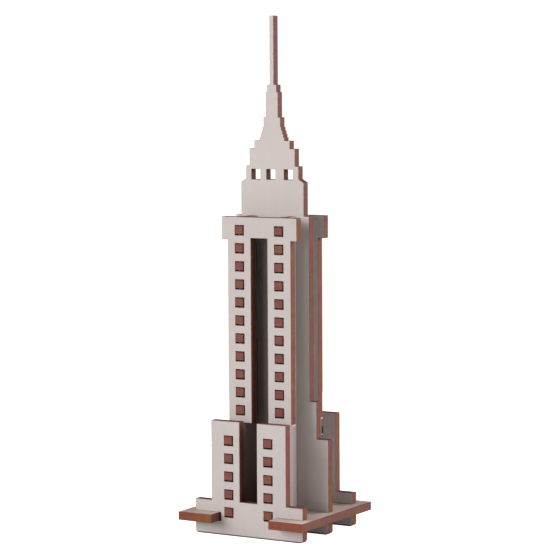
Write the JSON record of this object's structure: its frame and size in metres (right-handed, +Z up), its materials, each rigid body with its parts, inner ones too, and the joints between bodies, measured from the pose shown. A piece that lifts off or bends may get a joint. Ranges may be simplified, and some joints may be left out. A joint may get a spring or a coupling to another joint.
{
  "type": "miniature skyscraper model",
  "caption": "Desk model of a stepped skyscraper: flat board sheets slotted upright into a square base plate, with windowed walls, a tall shaft and a stepped crown that ends in a thin mast.",
  "frame": {"origin": "on the floor, under the middle of the base plate", "axes": "+X along the front wall to the right, +Y from the front wall to the back, +Z up"},
  "size_m": [0.0498, 0.0492, 0.1797],
  "materials": {
    "base_board": "matt warm-grey coated board, scorched brown on the cut edges",
    "wall_board": "matt warm-grey coated board, scorched brown on the cut edges",
    "spire_board": "matt warm-grey coated board, scorched brown on the cut edges",
    "fin_board": "matt warm-grey coated board whose brown cut edges fill the windows"
  },
  "bodies": {
    "root": {"base_plate": "base_board", "front_podium_wall": "wall_board", "rear_podium_wall": "wall_board", "front_tower_wall": "wall_board", "rear_tower_wall": "wall_board", "spire_plate": "spire_board", "left_fin": "fin_board", "right_fin": "fin_board"}
  },
  "joints": []
}
